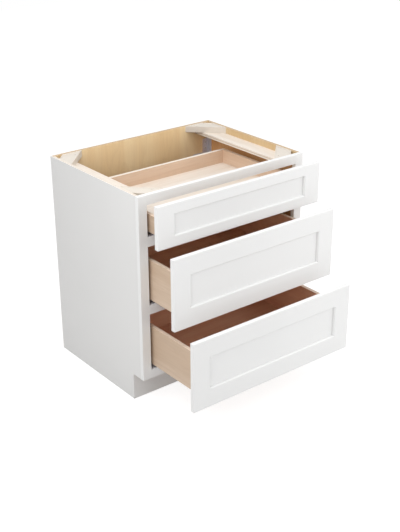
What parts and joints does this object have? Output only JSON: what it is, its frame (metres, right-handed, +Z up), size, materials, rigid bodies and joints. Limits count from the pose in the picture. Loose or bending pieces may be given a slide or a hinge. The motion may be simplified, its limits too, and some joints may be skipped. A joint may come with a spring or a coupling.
{
  "type": "base cabinet with drawers",
  "caption": "Framed kitchen base cabinet, open on top for a worktop, with recessed-panel fronts and wooden drawer boxes that run out on undermount slides.",
  "frame": {"origin": "on the floor, in the middle of the cabinet's back, in the plane of the wall", "axes": "+X to the right as seen from the front, +Y towards the wall, +Z up; the drawers run out along -Y"},
  "size_m": [0.8128, 0.9165, 0.8763],
  "materials": {
    "painted_wood": "satin white paint on solid wood",
    "white_faced_plywood": "plywood, satin white outside, clear-coated birch inside",
    "birch_plywood": "clear-coated birch plywood",
    "birch_wood": "clear-coated birch",
    "cream_plastic": "moulded, off-white",
    "zinc_steel": "zinc-plated sheet steel",
    "screw_steel": "zinc-plated",
    "grey_plastic": "moulded, grey",
    "dark_grey_plastic": "moulded, dark grey",
    "clear_rubber": "clear soft domes"
  },
  "bodies": {
    "carcass": {"side_panel_left": "white_faced_plywood", "side_panel_right": "white_faced_plywood", "back_panel": "birch_plywood", "bottom_panel": "birch_plywood", "toe_kick_board": "white_faced_plywood", "stile_left": "painted_wood", "stile_right": "painted_wood", "top_rail": "painted_wood", "upper_mid_rail": "painted_wood", "lower_mid_rail": "painted_wood", "bottom_rail": "painted_wood", "side_rail_left": "birch_plywood", "side_rail_right": "birch_plywood", "corner_braces_front": "cream_plastic", "corner_braces_back": "cream_plastic", "cabinet_screws": "screw_steel", "slide_fixed_members": "zinc_steel", "slide_rear_brackets": "zinc_steel"},
    "drawer_1": {"front_stiles_1": "painted_wood", "front_rails_1": "painted_wood", "front_panel_1": "painted_wood", "front_screws_1": "screw_steel", "bumpers_1": "clear_rubber", "box_side_left_1": "birch_wood", "box_side_right_1": "birch_wood", "box_front_1": "birch_wood", "box_back_1": "birch_wood", "box_bottom_1": "birch_plywood", "slide_drawer_members_1": "zinc_steel", "locking_clips_1": "grey_plastic"},
    "slide_middle_1": {"slide_middle_members_1": "zinc_steel"},
    "levers_1": {"release_levers_1": "dark_grey_plastic"},
    "drawer_2": {"front_stiles_2": "painted_wood", "front_rails_2": "painted_wood", "front_panel_2": "painted_wood", "front_screws_2": "screw_steel", "bumpers_2": "clear_rubber", "box_side_left_2": "birch_wood", "box_side_right_2": "birch_wood", "box_front_2": "birch_wood", "box_back_2": "birch_wood", "box_bottom_2": "birch_plywood", "slide_drawer_members_2": "zinc_steel", "locking_clips_2": "grey_plastic"},
    "slide_middle_2": {"slide_middle_members_2": "zinc_steel"},
    "levers_2": {"release_levers_2": "dark_grey_plastic"},
    "drawer_3": {"front_stiles_3": "painted_wood", "front_rails_3": "painted_wood", "front_panel_3": "painted_wood", "front_screws_3": "screw_steel", "bumpers_3": "clear_rubber", "box_side_left_3": "birch_wood", "box_side_right_3": "birch_wood", "box_front_3": "birch_wood", "box_back_3": "birch_wood", "box_bottom_3": "birch_plywood", "slide_drawer_members_3": "zinc_steel", "locking_clips_3": "grey_plastic"},
    "slide_middle_3": {"slide_middle_members_3": "zinc_steel"},
    "levers_3": {"release_levers_3": "dark_grey_plastic"}
  },
  "joints": [
    {"name": "drawer_1_slide", "type": "slide", "parent": "carcass", "child": "drawer_1", "axis": [0, -1, 0], "range_m": [-0.084, 0.436]},
    {"name": "slide_middle_1_run", "type": "slide", "parent": "carcass", "child": "slide_middle_1", "axis": [0, -1, 0], "range_m": [-0.042, 0.218]},
    {"name": "levers_1_press", "type": "hinge", "parent": "drawer_1", "child": "levers_1", "pos_m": [0, -0.63933, 0.72505], "axis": [-1, 0, 0], "range_deg": [0, 7], "stiffness_Nm_per_rad": 0.6},
    {"name": "drawer_2_slide", "type": "slide", "parent": "carcass", "child": "drawer_2", "axis": [0, -1, 0], "range_m": [-0.1753, 0.3447]},
    {"name": "slide_middle_2_run", "type": "slide", "parent": "carcass", "child": "slide_middle_2", "axis": [0, -1, 0], "range_m": [-0.08765, 0.17235]},
    {"name": "levers_2_press", "type": "hinge", "parent": "drawer_2", "child": "levers_2", "pos_m": [0, -0.73062, 0.44565], "axis": [-1, 0, 0], "range_deg": [0, 7], "stiffness_Nm_per_rad": 0.6},
    {"name": "drawer_3_slide", "type": "slide", "parent": "carcass", "child": "drawer_3", "axis": [0, -1, 0], "range_m": [-0.2863, 0.2337]},
    {"name": "slide_middle_3_run", "type": "slide", "parent": "carcass", "child": "slide_middle_3", "axis": [0, -1, 0], "range_m": [-0.14315, 0.11685]},
    {"name": "levers_3_press", "type": "hinge", "parent": "drawer_3", "child": "levers_3", "pos_m": [0, -0.84162, 0.16625], "axis": [-1, 0, 0], "range_deg": [0, 7], "stiffness_Nm_per_rad": 0.6}
  ],
  "couplings": [
    {"joint": "slide_middle_1_run", "follows": "drawer_1_slide", "ratio": 0.5},
    {"joint": "slide_middle_2_run", "follows": "drawer_2_slide", "ratio": 0.5},
    {"joint": "slide_middle_3_run", "follows": "drawer_3_slide", "ratio": 0.5}
  ]
}
